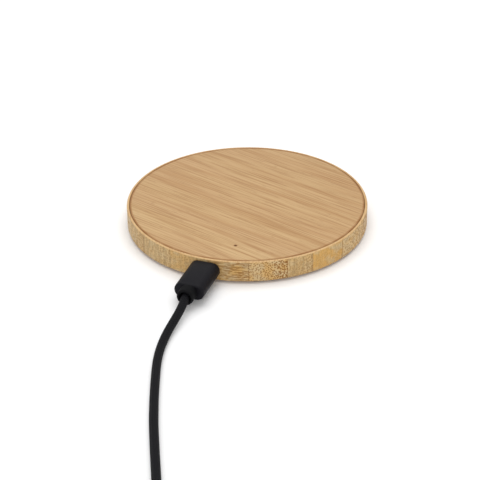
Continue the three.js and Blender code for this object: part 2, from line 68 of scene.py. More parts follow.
BOARD_BOTTOM, BOARD_TOP = 2.65, 3.65
CORD_RADIUS = 1.5
COIL_X, COIL_Y = 19.7, -201.0
COIL_FLOOR = 0.9
TIE_ANGLE, TIE_WIDTH, TIE_THICKNESS, TIE_CORNER = 5.0, 4.0, 0.6, 0.25
RUN_RADIUS, RUN_ANGLE = 24.0, 25.0  # where the cord meets the coil's outermost lower turn
TAIL_RADIUS, TAIL_ANGLE = 22.5, 265.0  # where it leaves the outermost upper turn

FOOT_ANGLES = [22.5 + 90 * i for i in range(4)]
SCREW_ANGLES = [45 + 90 * i for i in range(4)]
STAKE_ANGLES = [60, 180, 300]


def polar(radius, degrees):
    a = math.radians(degrees)
    return radius * math.cos(a), radius * math.sin(a)


# ---------------------------------------------------------------- camera

CAMERA_PLACE = (0.17694, -0.50898, 0.30313)  # metres
CAMERA_AIM = (0.00712, -0.02847, 0.0090)  # metres
CAMERA_ROLL = -0.535  # degrees
CAMERA_LENS, CAMERA_SENSOR = 122.86, 36


def make_camera():
    """A pinhole camera, fitted to how the pad looks in the photograph."""
    data = bpy.data.cameras.new("camera")
    data.sensor_width = CAMERA_SENSOR
    data.lens = CAMERA_LENS
    data.clip_start = 0.01
    data.clip_end = 10
    camera = bpy.data.objects.new("camera", data)
    bpy.context.scene.collection.objects.link(camera)
    place = Vector(CAMERA_PLACE)
    turn = (Vector(CAMERA_AIM) - place).to_track_quat("-Z", "Y").to_matrix().to_4x4()
    roll = Matrix.Rotation(math.radians(CAMERA_ROLL), 4, "Z")
    camera.matrix_world = Matrix.Translation(place) @ turn @ roll
    bpy.context.scene.camera = camera


# ---------------------------------------------------------------- cord

# From inside the plug's strain relief down onto the surface and on towards the coil.
RUN_ROUTE = [
    (0, -63.4, 5.2),
    (0.1, -65.6, 5),
    (0.4, -68.6, 4.45),
    (0.5, -72, 3.75),
    (0.4, -76, 3),
    (0.3, -80.5, 2.3),
    (0.4, -84.5, 1.85),
    (0.8, -88.5, 1.6),
    (1.4, -92.2, 1.55),
    (2.4, -96.8, 1.55),
    (4, -102.3, 1.55),
    (6, -108.2, 1.55),
    (8.4, -115, 1.55),
    (11.3, -122.8, 1.55),
    (14.5, -131, 1.55),
    (18.1, -139.5, 1.55),
    (22, -148.5, 1.55),
]
LOWER_Z = COIL_FLOOR + CORD_RADIUS
PITCH = 2 * CORD_RADIUS
LOWER_RADII = [24, 21, 18, 15, 12]  # the lower layer's turns, from the outside in
UPPER_RADIUS = 13.5  # the upper layer's innermost turn
LOWER_STEP = (60, 140)  # where each lower turn moves in by one place, in degrees wound
UPPER_STEP = (284, 364)  # and where each upper turn moves out by one
CLIMB = (1440, 1510)  # where the cord climbs from one layer to the other, in degrees wound
CLIMB_RISE = 2.6
WOUND = 2640  # degrees from where the cord meets the coil to where it leaves

# The cord's height by how far it is past the point where its straight line touches the coil.
APPROACH_HEIGHTS = {-33: 1.7, -23: 2.1, -13: 2.35, -5: LOWER_Z}
TAIL_HEIGHTS = {5: 5, 10: 5, 15: 4.98, 21: 4.75, 27: 4.4, 33: 4.1, 39: 3.9, 45: 3.85, 51: 3.85}


def tangent_point(radius, degrees, distance, z):
    """A point on the straight line that touches a turn of the coil at an angle."""
    x, y = polar(radius, degrees)
    along_x, along_y = polar(distance, degrees - 90)
    return COIL_X + x + along_x, COIL_Y + y + along_y, z


def eased(value, low, high):
    """From 0 at low to 1 at high, with a gentle start and end."""
    t = min(max((value - low) / (high - low), 0), 1)
    return t * t * (3 - 2 * t)


def lower_radius(turn, wound):
    """The radius of one lower turn at an angle from 0 to 360 within it."""
    here = LOWER_RADII[turn]
    if turn + 1 < len(LOWER_RADII):
        here -= PITCH * eased(wound, *LOWER_STEP)
    return here


def on_the_turns_below(radius, wound):
    """The height of a cord that rests on the lower layer."""
    angle = wound % 360
    last = len(LOWER_RADII) - 1
    turns = [lower_radius(i, angle) for i in range(last)]
    if angle < LOWER_STEP[0]:
        turns.append(LOWER_RADII[last])
    gap = min(PITCH / 2, min(abs(radius - r) for r in turns))
    return LOWER_Z + math.sqrt(PITCH**2 - gap**2)


def coil_points(every=15):
    """Points every few degrees wound: the lower layer, the climb, and the upper layer."""
    points = []
    for wound in range(0, WOUND + 1, every):
        if wound < CLIMB[0]:
            turn, angle = divmod(wound, 360)
            radius, z = lower_radius(turn, angle), LOWER_Z
        elif wound < CLIMB[1]:
            rise = CLIMB_RISE * eased(wound, *CLIMB)
            radius, z = LOWER_RADII[-2] - math.sqrt(PITCH**2 - rise**2), LOWER_Z + rise
        else:
            radius = UPPER_RADIUS
            for start in range(CLIMB[0], WOUND, 360):
                radius += PITCH * eased(wound, start + UPPER_STEP[0], start + UPPER_STEP[1])
            z = on_the_turns_below(radius, wound)
        x, y = polar(radius, RUN_ANGLE - wound)
        points.append((COIL_X + x, COIL_Y + y, z))
    return points


def tail_points():
    return [tangent_point(TAIL_RADIUS, TAIL_ANGLE, at, z) for at, z in TAIL_HEIGHTS.items()]


def cord_route():
    arriving = [tangent_point(RUN_RADIUS, RUN_ANGLE, at, z) for at, z in APPROACH_HEIGHTS.items()]
    return [*RUN_ROUTE, *arriving, *coil_points(), *tail_points()]


# ---------------------------------------------------------------- node materials


class Paint:
    """A material with its nodes, and short ways to add to them."""

    def __init__(self, name, roughness=0.5, metallic=0.0, **sockets):
        self.material = bpy.data.materials.new(name)
        self.material.use_nodes = True
        self.tree = self.material.node_tree
        self.shader = self.tree.nodes["Principled BSDF"]
        self.shader.inputs["Roughness"].default_value = roughness
        self.shader.inputs["Metallic"].default_value = metallic
        for socket, value in sockets.items():
            self.shader.inputs[socket.replace("_", " ")].default_value = value
        self.place = self.node("ShaderNodeTexCoord").outputs["Object"]

    def node(self, kind, inputs=None, **settings):
        made = self.tree.nodes.new(kind)
        for key, value in settings.items():
            setattr(made, key, value)
        for key, value in (inputs or {}).items():
            self.put(made.inputs[key], value)
        return made

    def put(self, socket, value):
        """Links a socket to another node's output, or gives it a constant."""
        if isinstance(value, bpy.types.NodeSocket):
            self.tree.links.new(value, socket)
        else:
            socket.default_value = value

    def math(self, operation, *values):
        return self.node("ShaderNodeMath", dict(enumerate(values)), operation=operation).outputs[0]

    def vector(self, operation, first, second):
        inputs = {0: first, 1: second}
        return self.node("ShaderNodeVectorMath", inputs, operation=operation).outputs[0]

    def length(self, vector):
        return self.node("ShaderNodeVectorMath", {0: vector}, operation="LENGTH").outputs["Value"]

    def parts(self, vector):
        """The x, y and z of a vector."""
        return self.node("ShaderNodeSeparateXYZ", {0: vector}).outputs

    def joined(self, x, y):
        """A vector of x and y with nothing along z."""
        return self.node("ShaderNodeCombineXYZ", {0: x, 1: y}).outputs[0]

    def scaled(self, x, y, z, turn=0.0):
        """Coordinates turned by some degrees about Z, then counted in spans of x, y and z millimetres."""
        rotation = (0, 0, math.radians(turn))
        turned = self.node("ShaderNodeMapping", {"Vector": self.place, "Rotation": rotation})
        return self.vector("MULTIPLY", turned.outputs[0], (1000 / x, 1000 / y, 1000 / z))

    def noise(self, vector, detail=3.0, distortion=0.0):
        """Soft noise about one unit across, from 0 to 1."""
        inputs = {"Vector": vector, "Scale": 1.0, "Detail": detail, "Distortion": distortion}
        return self.node("ShaderNodeTexNoise", {**inputs, "Roughness": 0.55}).outputs["Fac"]

    def spots(self, vector, randomness=1.0, **settings):
        """The distance from the nearest of many points, scattered about one unit apart."""
        inputs = {"Vector": vector, "Scale": 1.0, "Randomness": randomness}
        return self.node("ShaderNodeTexVoronoi", inputs, **settings).outputs["Distance"]

    def ramp(self, value, low, high, to_low=0.0, to_high=1.0, smooth=True):
        """Brings a value from one range into another, and holds it at the ends."""
        inputs = {0: value, 1: low, 2: high, 3: to_low, 4: to_high}
        kind = "SMOOTHSTEP" if smooth else "LINEAR"
        return self.node("ShaderNodeMapRange", inputs, interpolation_type=kind).outputs[0]

    def mix(self, amount, first, second):
        """A mix of two colours."""
        inputs = {0: amount, 6: first, 7: second}
        return self.node("ShaderNodeMix", inputs, data_type="RGBA").outputs[2]

    def choose(self, amount, first, second):
        """A mix of two numbers."""
        inputs = {0: amount, 2: first, 3: second}
        return self.node("ShaderNodeMix", inputs, data_type="FLOAT").outputs[0]

    def color(self, value):
        self.put(self.shader.inputs["Base Color"], value)

    def roughness(self, value):
        self.put(self.shader.inputs["Roughness"], value)

    def bump(self, height, depth_mm):
        inputs = {"Strength": 1.0, "Distance": depth_mm * MM, "Height": height}
        self.put(self.shader.inputs["Normal"], self.node("ShaderNodeBump", inputs).outputs[0])


def srgb(red, green, blue):
    """A colour given as 0 to 255 on a screen, as the linear colour that shaders use."""

    def linear(c):
        c /= 255
        return c / 12.92 if c <= 0.04045 else ((c + 0.055) / 1.055) ** 2.4

    return linear(red), linear(green), linear(blue), 1.0


def toned(color, times):
    """A colour made lighter or darker."""
    return (*(min(1, c * times) for c in color[:3]), 1.0)


def painted_seam_shade(p, color):
    """A painted brown band of shade along the seam where the lid meets the rim, broken into patches along
    its length.
    """
    from_axis = p.length(p.vector("MULTIPLY", p.place, (1000, 1000, 0)))
    from_seam = p.math("ABSOLUTE", p.math("SUBTRACT", from_axis, SEAM_RADIUS))
    near = p.ramp(from_seam, 0.25, 0.7, 0.85, 0.0)
    seam_shade_patches = p.ramp(p.noise(p.scaled(7, 7, 7), detail=4.0), 0.35, 0.62, 0.55, 1.0)
    return p.mix(p.math("MULTIPLY", near, seam_shade_patches), color, srgb(146, 97, 46))


# Where the housing's strips begin and end, in millimetres across them, and for each strip how strongly
# it shows dots of fibre, how strongly it shows upright lines, and how orange it is.
STRIP_EDGES = [-46, -37.8, -28, -14, 0, 13.7, 22.8, 34, 46]
STRIP_LOOKS = [
    (0.45, 1.0, 0.15),
    (0.4, 1.0, 0.0),
    (0.45, 0.6, 0.4),
    (0.9, 0.2, 0.6),
    (1.0, 0.15, 0.5),
    (0.5, 1.0, 0.15),
    (0.25, 0.5, 0.8),
    (0.8, 0.3, 0.3),
]
SLANTED_STRIP = 3  # cut at a slant, so that its fibres are drawn out sideways
BLOCK_GRAIN = -20  # degrees that turn the axes so that x runs across the strips and y along the grain
LID_GRAIN = 19  # degrees that turn them so that x runs along the lid's grain and y across it


def strip_looks(p, strip):
    """The three numbers of STRIP_LOOKS for the strip with this number."""
    middle = p.math("DIVIDE", p.math("ADD", strip, 0.5), len(STRIP_LOOKS))
    looks = p.node("ShaderNodeValToRGB", {0: middle})
    looks.color_ramp.interpolation = "CONSTANT"
    stops = looks.color_ramp.elements
    while len(stops) < len(STRIP_LOOKS):
        stops.new(1.0)
    for i, look in enumerate(STRIP_LOOKS):
        stops[i].position = i / len(STRIP_LOOKS)
        stops[i].color = (*look, 1.0)
    return p.node("ShaderNodeSeparateColor", {0: looks.outputs[0]}).outputs


def cut_fibres(p, strip, crowding):
    """Dots where the fibres are cut across, and short dashes where they are cut at a slant."""
    x, _, z = p.parts(p.scaled(0.74, 1, 0.74, turn=BLOCK_GRAIN))
    shift = p.joined(p.math("MULTIPLY", strip, 5.37), p.math("MULTIPLY", strip, 2.11))
    wander = p.noise(p.scaled(2.2, 60, 2.2, turn=BLOCK_GRAIN), detail=1.0)
    bend = p.node("ShaderNodeVectorMath", {0: (1.6, 1.6, 0), 3: wander}, operation="SCALE").outputs[0]
    cut_end = p.vector("ADD", p.vector("ADD", p.joined(x, z), shift), bend)
    bundles = p.spots(cut_end, 0.9, voronoi_dimensions="2D")
    size = p.ramp(crowding, 0, 1, 0.35, 0.44)
    dots = p.ramp(p.math("SUBTRACT", bundles, size), -0.14, 0.1, 1.0, 0.0)
    sideways = p.noise(p.scaled(2.6, 40, 0.5, turn=BLOCK_GRAIN), detail=2.0, distortion=0.8)
    slanted = p.math("COMPARE", strip, SLANTED_STRIP, 0.1)
    return p.choose(slanted, dots, p.ramp(sideways, 0.44, 0.56))


def bamboo_block():
    """Solid bamboo glued up from upright strips, with the cut ends of its fibres as dots."""
    p = Paint("bamboo_block", roughness=0.55, Specular_IOR_Level=0.35)
    across = p.parts(p.scaled(1, 1, 1, turn=BLOCK_GRAIN))[0]
    place = 0.0
    for start, end in zip(STRIP_EDGES, STRIP_EDGES[1:]):
        place = p.math("ADD", place, p.ramp(across, start, end, smooth=False))
    strip = p.math("FLOOR", place)
    through = p.math("FRACT", place)
    dotted, lined, orange = strip_looks(p, strip)

    crowding = p.math("POWER", through, 1.6)
    fibre = cut_fibres(p, strip, crowding)
    dark = p.math("MULTIPLY", fibre, p.math("MULTIPLY", dotted, p.ramp(crowding, 0, 1, 0.72, 1.0)))
    upright = p.noise(p.scaled(0.7, 0.7, 4), detail=3.0)
    lines = p.math("MULTIPLY", p.ramp(upright, 0.36, 0.66), lined)
    patches = p.ramp(p.noise(p.scaled(5, 5, 3), detail=2.0), 0.34, 0.62)
    glow = p.math("MULTIPLY", patches, p.ramp(orange, 0, 1, 0.25, 1.0, smooth=False))
    joint = p.ramp(p.math("ABSOLUTE", p.math("SUBTRACT", through, 0.982)), 0.0, 0.022, 0.6, 0.0)

    sides = p.mix(glow, srgb(199, 173, 128), srgb(206, 157, 76))
    sides = p.mix(p.math("MULTIPLY", lines, 0.62), sides, srgb(150, 124, 82))
    sides = p.mix(dark, sides, srgb(138, 92, 36))
    sides = p.mix(joint, sides, srgb(128, 88, 44))
    streaks = p.noise(p.scaled(0.5, 14, 2, turn=BLOCK_GRAIN), detail=2.0)
    lengthwise = p.mix(p.ramp(streaks, 0.4, 0.7, 0.0, 0.6), srgb(210, 174, 124), srgb(180, 138, 88))
    upward = p.parts(p.node("ShaderNodeTexCoord").outputs["Normal"])[2]
    level = p.ramp(p.math("ABSOLUTE", upward), 0.3, 0.8)
    # painted shade along the seam darkens the rim's top next to the lid
    p.color(painted_seam_shade(p, p.mix(level, sides, lengthwise)))
    p.roughness(p.ramp(fibre, 0, 1, 0.5, 0.66))
    p.bump(p.math("MULTIPLY", p.math("ADD", dark, p.math("MULTIPLY", upright, 0.4)), -1.0), 0.05)
    return p.material


def bamboo_face():
    """The lid: bamboo strips seen along their grain."""
    p = Paint("bamboo_face", roughness=0.5, Specular_IOR_Level=0.35)
    strip = p.math("FLOOR", p.parts(p.scaled(400, 19, 1000, turn=LID_GRAIN))[1])
    pick = {"W": p.math("ADD", strip, 3.1)}
    shade = p.node("ShaderNodeTexWhiteNoise", pick, noise_dimensions="1D").outputs[0]
    slide = p.joined(p.math("MULTIPLY", strip, 3.7), p.math("MULTIPLY", strip, 1.9))

    def along(length, width, detail):
        """Streaks along the grain that differ from strip to strip."""
        place = p.scaled(length, width, 4, turn=LID_GRAIN)
        return p.noise(p.vector("ADD", place, slide), detail=detail)

    fine = along(22, 0.42, 3.0)
    coarse = along(60, 2.6, 2.0)
    broad = along(90, 11, 1.0)
    dashes = p.ramp(p.spots(p.scaled(5.5, 0.8, 3, turn=LID_GRAIN)), 0.08, 0.26, 1.0, 0.0)
    here = p.ramp(p.noise(p.scaled(9, 4, 3, turn=LID_GRAIN), detail=1.0), 0.46, 0.64)
    short = p.math("MULTIPLY", dashes, here)
    hole = (LIGHT_X * MM, LIGHT_Y * MM, PAD_TOP * MM)
    from_hole = p.length(p.vector("SUBTRACT", p.place, hole))
    # darker brown round the status light's hole
    round_the_hole = p.ramp(from_hole, LIGHT_HOLE * MM, 0.95 * MM, 0.7, 0.0)

    wood = p.mix(p.ramp(broad, 0.3, 0.7), srgb(199, 167, 120), srgb(194, 158, 114))
    wood = p.mix(p.ramp(shade, 0, 1, 0.0, 0.45), wood, srgb(187, 148, 100))
    wood = p.mix(p.ramp(coarse, 0.42, 0.7, 0.0, 0.6), wood, srgb(174, 132, 84))
    wood = p.mix(p.ramp(fine, 0.42, 0.68, 0.0, 0.7), wood, srgb(156, 114, 70))
    wood = p.mix(p.math("MULTIPLY", short, 0.55), wood, srgb(150, 108, 66))
    wood = p.mix(round_the_hole, wood, srgb(140, 90, 48))
    # painted shade along the seam darkens the lid's edge next to the rim
    p.color(painted_seam_shade(p, wood))
    p.roughness(p.ramp(fine, 0.3, 0.7, 0.44, 0.58))
    p.bump(p.math("ADD", fine, p.math("MULTIPLY", short, -0.6)), 0.03)
    return p.material


def moulded(name, color, roughness, grain_mm=0.25, depth_mm=0.012):
    """Plastic or rubber with the fine spark-eroded texture of its mould and a little handling shine."""
    p = Paint(name, roughness=roughness, Specular_IOR_Level=0.12)
    fine = p.noise(p.scaled(grain_mm, grain_mm, grain_mm), detail=2.0)
    cloud = p.noise(p.scaled(9, 9, 9), detail=3.0)
    p.color(p.mix(p.ramp(cloud, 0.3, 0.75), color, toned(color, 1.25)))
    handled = p.ramp(cloud, 0.25, 0.75, roughness - 0.05, roughness + 0.06)
    p.roughness(p.math("ADD", p.ramp(fine, 0.2, 0.8, -0.05, 0.05), handled))
    p.bump(fine, depth_mm)
    return p.material


def metal(name, color, roughness, brush=(0.12, 6.0, 0.12)):
    """Plated or drawn metal: faint lines the way it was drawn, and patches of dullness."""
    p = Paint(name, roughness=roughness, metallic=1.0)
    lines = p.noise(p.scaled(*brush), detail=2.0)
    cloud = p.noise(p.scaled(4, 4, 4), detail=3.0)
    p.color(p.mix(p.ramp(cloud, 0.3, 0.8, 0.0, 0.35), color, toned(color, 0.82)))
    dull = p.ramp(cloud, 0.3, 0.8, roughness, roughness + 0.12)
    p.roughness(p.math("ADD", p.ramp(lines, 0.25, 0.75, -0.06, 0.08), dull))
    p.bump(lines, 0.004)
    return p.material


def braid():
    """A close black textile braid: two sets of strands crossing over and under round the cord, with
    painted shade down between the strands.
    """
    p = Paint("cord_braid", roughness=0.72, Specular_IOR_Level=0.1)
    strands = 8.0  # in one turn round the cord
    u, v, _ = p.parts(p.node("ShaderNodeTexCoord").outputs["UV"])
    length = p.math("MULTIPLY", u, strands)
    turn = p.math("MULTIPLY", v, strands)
    left = p.math("ADD", length, turn)
    right = p.math("SUBTRACT", length, turn)

    def strand(value):
        """The round height across each strand."""
        wave = p.math("SUBTRACT", p.math("FRACT", value), 0.5)
        square = p.math("POWER", p.math("ABSOLUTE", wave), 2.0)
        return p.math("SUBTRACT", 1.0, p.math("MULTIPLY", square, 4.0))

    crossing = p.math("ADD", p.math("FLOOR", left), p.math("FLOOR", right))
    over = p.math("ABSOLUTE", p.math("MODULO", crossing, 2.0))
    height = p.choose(over, strand(left), strand(right))
    fuzz = p.noise(p.scaled(0.2, 0.2, 0.2), detail=2.0)
    # painted shade: darker down between the strands and lighter on their crowns
    p.color(p.mix(p.ramp(height, 0.0, 0.9), srgb(4, 4, 5), srgb(27, 27, 30)))
    p.roughness(p.ramp(fuzz, 0.2, 0.8, 0.62, 0.82))
    p.bump(p.math("ADD", height, p.math("MULTIPLY", fuzz, 0.25)), 0.12)
    return p.material


def woven_strap():
    """The tie's black fabric, ribbed and a little fluffy."""
    p = Paint("woven_strap", roughness=0.9)
    waves = {"Vector": p.scaled(1, 1, 1), "Scale": 2.2, "Distortion": 1.0, "Detail": 1.0}
    ribs = p.node("ShaderNodeTexWave", waves).outputs["Fac"]
    fuzz = p.noise(p.scaled(0.3, 0.3, 0.3), detail=3.0)
    p.color(p.mix(p.ramp(fuzz, 0.3, 0.7), srgb(18, 18, 20), srgb(38, 38, 42)))
    p.bump(p.math("ADD", ribs, fuzz), 0.08)
    return p.material


def circuit_board():
    """Green solder mask over copper tracks."""
    p = Paint("circuit_board_mask", roughness=0.35)
    tracks = p.spots(p.scaled(3.2, 3.2, 50), 0.6, distance="MANHATTAN", feature="F1")
    lines = p.ramp(p.math("FRACT", p.math("MULTIPLY", tracks, 3.0)), 0.35, 0.5)
    weave = p.noise(p.scaled(0.4, 0.4, 0.4), detail=1.0)
    p.color(p.mix(lines, srgb(14, 84, 58), srgb(24, 112, 76)))
    p.bump(p.math("ADD", lines, p.math("MULTIPLY", weave, 0.3)), 0.02)
    return p.material


def wound_copper():
    """Enamelled litz wire laid in a flat spiral."""
    p = Paint("wound_copper", roughness=0.35, metallic=0.9)
    strands = p.noise(p.scaled(0.15, 0.15, 0.15), detail=2.0)
    p.color(p.mix(p.ramp(strands, 0.3, 0.7), srgb(150, 78, 36), srgb(206, 128, 74)))
    p.bump(strands, 0.03)
    return p.material


def speckled(name, first, second, size_mm, roughness):
    """A gritty surface between two colours, such as ferrite, paper or ceramic."""
    p = Paint(name, roughness=roughness)
    grit = p.noise(p.scaled(size_mm, size_mm, size_mm), detail=3.0)
    p.color(p.mix(p.ramp(grit, 0.35, 0.68), first, second))
    p.roughness(p.ramp(grit, 0.3, 0.7, roughness - 0.08, roughness + 0.08))
    p.bump(grit, 0.01)
    return p.material


def clear_acrylic():
    """The light pipe: clear plastic that is faintly hazy."""
    p = Paint("clear_acrylic", roughness=0.25, Transmission_Weight=0.5, IOR=1.49)
    haze = p.noise(p.scaled(0.6, 0.6, 0.6), detail=1.0)
    p.color(p.mix(p.ramp(haze, 0.3, 0.7), srgb(196, 168, 142), srgb(172, 146, 122)))
    p.bump(haze, 0.004)
    return p.material


# ---------------------------------------------------------------- shapes

SHARP_EDGE = 32  # degrees between two faces, past which their edge is drawn sharp
WELD = 1e-7  # metres


def mesh_piece(name, bm, material, body, slot, *nodes, sharp=SHARP_EDGE):
    """A finished mesh as a piece that rides on a body and stands for CAD nodes."""
    bmesh.ops.recalc_face_normals(bm, faces=bm.faces)
    data = bpy.data.meshes.new(name)
    bm.to_mesh(data)
    bm.free()
    data.materials.append(material)
    data.shade_smooth()
    data.set_sharp_from_angle(angle=math.radians(sharp))
    piece = bpy.data.objects.new(name, data)
    bpy.context.scene.collection.objects.link(piece)
    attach(piece, body)
    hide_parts(*nodes)
    return piece


def skin(bm, rings, closed_path=False):
    """Faces between rings of points, and over the first and last unless the path closes on itself."""
    rows = [[bm.verts.new(Vector(point) * MM) for point in ring] for ring in rings]
    pairs = list(zip(rows, rows[1:]))
    if closed_path:
        pairs.append((rows[-1], rows[0]))
    for first, second in pairs:
        for i in range(len(first)):
            j = (i + 1) % len(first)
            bm.faces.new((first[i], first[j], second[j], second[i]))
    if not closed_path:
        bm.faces.new(rows[0])
        bm.faces.new(rows[-1])


def lathe_rings(profile, segments, centre):
    """Rings of points about an upright line, one for each (radius, height)."""
    rings = []
    for radius, z in profile:
        around = (polar(radius, 360 * i / segments) for i in range(segments))
        rings.append([(centre[0] + x, centre[1] + y, z) for x, y in around])
    return rings


def lathe(profile, segments, centre=(0, 0), closed_path=False):
    """A profile of (radius, height) turned about an upright line."""
    bm = bmesh.new()
    skin(bm, lathe_rings(profile, segments, centre), closed_path=closed_path)
    bmesh.ops.remove_doubles(bm, verts=bm.verts, dist=WELD)
    return bm


def rounded(width, height, corner, steps=8):
    """The outline of a rounded rectangle about the origin, as (sideways, up) pairs."""
    points = []
    for side_x, side_z, start in ((1, 1, 0), (-1, 1, 90), (-1, -1, 180), (1, -1, 270)):
        for i in range(steps + 1):
            dx, dz = polar(corner, start + 90 * i / steps)
            points.append((side_x * (width / 2 - corner) + dx, side_z * (height / 2 - corner) + dz))
    return points


def section(width, height, corner, y, z=PORT_HEIGHT):
    """A rounded rectangle that faces along Y."""
    return [(x, y, z + up) for x, up in rounded(width, height, corner)]


def circle_section(radius, y, z=PORT_HEIGHT):
    """A circle that faces along Y."""
    around = (polar(radius, degrees) for degrees in range(0, 360, 10))
    return [(x, y, z + up) for x, up in around]


def fillet(width, height, corner, y, inward, radius, z=PORT_HEIGHT):
    """Sections that round the edge where a bar ends at y; inward is the way to the bar's middle."""
    rings = []
    for degrees in range(0, 91, 18):
        out, up = polar(radius, degrees)
        less = radius - up
        size = (width - 2 * less, height - 2 * less, corner - less)
        rings.append(section(*size, y + inward * (radius - out), z))
    return rings


def cut(piece, bm):
    """Takes one solid out of a piece's mesh."""
    data = bpy.data.meshes.new("cutter")
    bmesh.ops.recalc_face_normals(bm, faces=bm.faces)
    bm.to_mesh(data)
    bm.free()
    cutter = bpy.data.objects.new("cutter", data)
    bpy.context.scene.collection.objects.link(cutter)
    modifier = piece.modifiers.new("cut", "BOOLEAN")
    modifier.operation = "DIFFERENCE"
    modifier.solver = "EXACT"
    modifier.object = cutter
    bpy.context.view_layer.update()
    evaluated = piece.evaluated_get(bpy.context.evaluated_depsgraph_get())
    shape = bpy.data.meshes.new_from_object(evaluated)
    piece.modifiers.remove(modifier)
    old = piece.data
    piece.data = shape
    bpy.data.meshes.remove(old)
    bpy.data.objects.remove(cutter)
    bpy.data.meshes.remove(data)
    shape.shade_smooth()
    shape.set_sharp_from_angle(angle=math.radians(SHARP_EDGE))


def arc(radius, z, size, start, end, steps=6):
    """Points of a rounded edge of a turned profile, centred at radius and z."""
    around = (polar(size, start + (end - start) * i / steps) for i in range(steps + 1))
    return [(radius + out, z + up) for out, up in around]


def smooth_line(points, spacing):
    """A smooth line through the points, as points a set distance apart."""
    steps = 12  # from one point to the next
    ends = [2 * points[0] - points[1], *points, 2 * points[-1] - points[-2]]
    fine = []
    for p0, p1, p2, p3 in zip(ends, ends[1:], ends[2:], ends[3:]):
        for i in range(steps):
            t = i / steps
            square = (2 * p0 - 5 * p1 + 4 * p2 - p3) * t**2
            cube = (3 * p1 - p0 - 3 * p2 + p3) * t**3
            fine.append(0.5 * (2 * p1 + (p2 - p0) * t + square + cube))
    fine.append(points[-1])
    line, left = [fine[0]], spacing
    for first, second in zip(fine, fine[1:]):
        step = (second - first).length
        while step >= left:
            first = first.lerp(second, left / step)
            line.append(first)
            step = (second - first).length
            left = spacing
        left -= step
    line.append(fine[-1])
    return line


def tube(bm, line, radius, sides):
    """A round tube along a line, with UVs in whole turns round it and the same lengths along it."""
    uv = bm.loops.layers.uv.verify()
    side = Vector((0, 0, 1))
    rows, along = [], [0.0]
    for i, point in enumerate(line):
        forward = (line[min(i + 1, len(line) - 1)] - line[max(i - 1, 0)]).normalized()
        side = (side - forward * side.dot(forward)).normalized()
        other = forward.cross(side)
        turns = (polar(radius, 360 * k / sides) for k in range(sides))
        rows.append([bm.verts.new(point + a * side + b * other) for a, b in turns])
        if i:
            along.append(along[-1] + (point - line[i - 1]).length / (2 * math.pi * radius))
    for i, (first, second) in enumerate(zip(rows, rows[1:])):
        for k in range(sides):
            n = (k + 1) % sides
            face = bm.faces.new((first[k], first[n], second[n], second[k]))
            corners = ((i, k), (i, k + 1), (i + 1, k + 1), (i + 1, k))
            for loop, (row, column) in zip(face.loops, corners):
                loop[uv].uv = (along[row], column / sides)
    bm.faces.new(rows[0])
    bm.faces.new(rows[-1])


# ---------------------------------------------------------------- the pad


def make_housing(material):
    """The bamboo ring, with its slot for the plug, a pocket for the board's tab and screw holes."""
    profile = [
        (RECESS_RADIUS, BASE_BOTTOM + 0.15),
        (RECESS_RADIUS + 0.15, BASE_BOTTOM),
        *arc(PAD_RADIUS - BOTTOM_ROUND, BASE_BOTTOM + BOTTOM_ROUND, BOTTOM_ROUND, 270, 360),
        *arc(PAD_RADIUS - TOP_ROUND, PAD_TOP - TOP_ROUND, TOP_ROUND, 0, 90),
        *arc(SEAT_RADIUS + LID_ROUND, PAD_TOP - LID_ROUND, LID_ROUND, 90, 180, 4),
        (SEAT_RADIUS, SEAT_FLOOR),
        (POCKET_RADIUS, SEAT_FLOOR),
        (POCKET_RADIUS, BASE_TOP + 0.05),
        (RECESS_RADIUS, BASE_TOP + 0.05),
    ]
    ring = lathe(profile, 288, closed_path=True)
    piece = mesh_piece("housing", ring, material, "pad", "bamboo", "bamboo_housing")

    slot = bmesh.new()
    inner = section(SLOT_WIDTH, SLOT_HEIGHT, SLOT_CORNER, -35)
    mouth = section(SLOT_WIDTH, SLOT_HEIGHT, SLOT_CORNER, -44.6)
    flare = section(SLOT_WIDTH + 0.6, SLOT_HEIGHT + 0.6, SLOT_CORNER + 0.3, -45.3)
    skin(slot, [inner, mouth, flare])
    cut(piece, slot)

    tab = bmesh.new()
    half, top, bottom = 6.4, BOARD_TOP + 0.3, BASE_TOP - 0.1
    ends = [(half, top), (-half, top), (-half, bottom), (half, bottom)]
    skin(tab, [[(x, y, z) for x, z in ends] for y in (-35.5, -43.4)])
    cut(piece, tab)
    for angle in SCREW_ANGLES:
        pilot = [(SCREW_HOLE, BASE_TOP - 1), (SCREW_HOLE, BASE_TOP + 4)]
        cut(piece, lathe(pilot, 24, polar(SCREW_CIRCLE, angle)))


def make_lid(material):
    """The bamboo disc inlaid in the housing, with the small hole for the status light."""
    bottom = PAD_TOP - LID_THICKNESS
    profile = [
        (0.0, bottom),
        (LID_RADIUS, bottom),
        *arc(LID_RADIUS - LID_ROUND, PAD_TOP - LID_ROUND, LID_ROUND, 0, 90, 4),
        (0.0, PAD_TOP),
    ]
    piece = mesh_piece("lid", lathe(profile, 288), material, "pad", "bamboo_top", "bamboo_lid")
    hole = [(LIGHT_HOLE, bottom - 1), (LIGHT_HOLE, PAD_TOP + 1)]
    cut(piece, lathe(hole, 40, (LIGHT_X, LIGHT_Y)))


def make_feet(material):
    """Four rubber feet, each with a shallow hollow in its underside."""
    hollow, top = 0.12, 1.1
    profile = [
        (0.0, hollow),
        (FOOT_RADIUS - 1.0, hollow),
        *arc(FOOT_RADIUS - 0.75, hollow, hollow, 180, 270, 3),
        *arc(FOOT_RADIUS - 0.3, 0.3, 0.3, 270, 360, 5),
        (FOOT_RADIUS, top),
        (0.0, top),
    ]
    for i, angle in enumerate(FOOT_ANGLES, 1):
        foot = lathe(profile, 64, polar(FOOT_CIRCLE, angle))
        mesh_piece(f"foot_{i}", foot, material, "pad", "rubber", f"rubber_foot_{i}")


